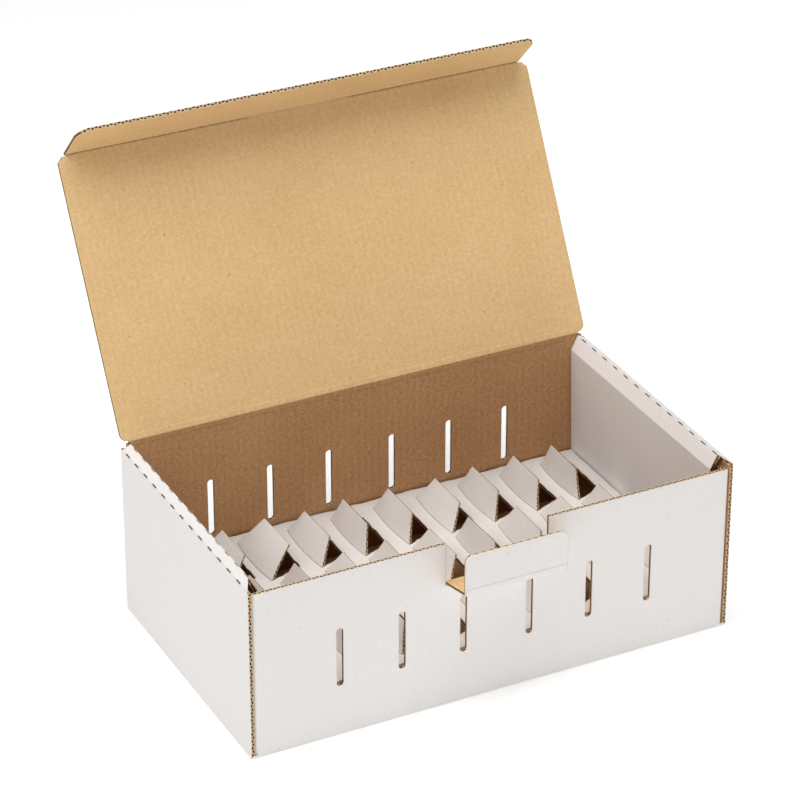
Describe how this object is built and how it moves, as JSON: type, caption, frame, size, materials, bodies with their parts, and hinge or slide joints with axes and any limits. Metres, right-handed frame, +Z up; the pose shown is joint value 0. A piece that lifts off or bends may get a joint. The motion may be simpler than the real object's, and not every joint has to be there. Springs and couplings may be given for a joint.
{
  "type": "queen cage shipping box",
  "caption": "Low corrugated card mailer with rolled side walls, hinged tuck lid, front lock tab and a slotted insert with raised tongues that holds queen cages.",
  "frame": {"origin": "centre of the underside of the floor", "axes": "+X along the box's length to the right, +Y from the front wall to the hinged rear wall, +Z up"},
  "size_m": [0.224, 0.2043, 0.2093],
  "materials": {
    "box_board": "matte white outer liner, kraft inner liner",
    "insert_board": "matte white upper liner, kraft underside",
    "lid_board": "matte kraft inner liner, white outer liner"
  },
  "bodies": {
    "box": {"box_body": "box_board", "insert": "insert_board"},
    "lid": {"lid": "lid_board"},
    "tuck_flap": {"tuck_flap": "lid_board"},
    "lock_tab": {"lock_tab": "lid_board"},
    "lock_tab_tip": {"lock_tab_tip": "box_board"}
  },
  "joints": [
    {"name": "lid_swing", "type": "hinge", "parent": "box", "child": "lid", "pos_m": [0, 0.06325, 0.08305], "axis": [-1, 0, 0], "range_deg": [-118.7, 71.3]},
    {"name": "tuck_flap_fold", "type": "hinge", "parent": "lid", "child": "tuck_flap", "pos_m": [0, 0.12268, 0.19159], "axis": [-1, 0, 0], "range_deg": [-22.1, 13.4]},
    {"name": "lock_tab_fold", "type": "hinge", "parent": "box", "child": "lock_tab", "pos_m": [0, -0.06325, 0.059], "axis": [1, 0, 0], "range_deg": [-77.5, 20]},
    {"name": "lock_tab_tip_fold", "type": "hinge", "parent": "lock_tab", "child": "lock_tab_tip", "pos_m": [0, -0.08014, 0.06274], "axis": [-1, 0, 0], "range_deg": [-77.6, 20.1]}
  ],
  "couplings": [
    {"joint": "tuck_flap_fold", "follows": "lid_swing", "ratio": 0.18534},
    {"joint": "lock_tab_tip_fold", "follows": "lock_tab_fold", "ratio": 1}
  ]
}
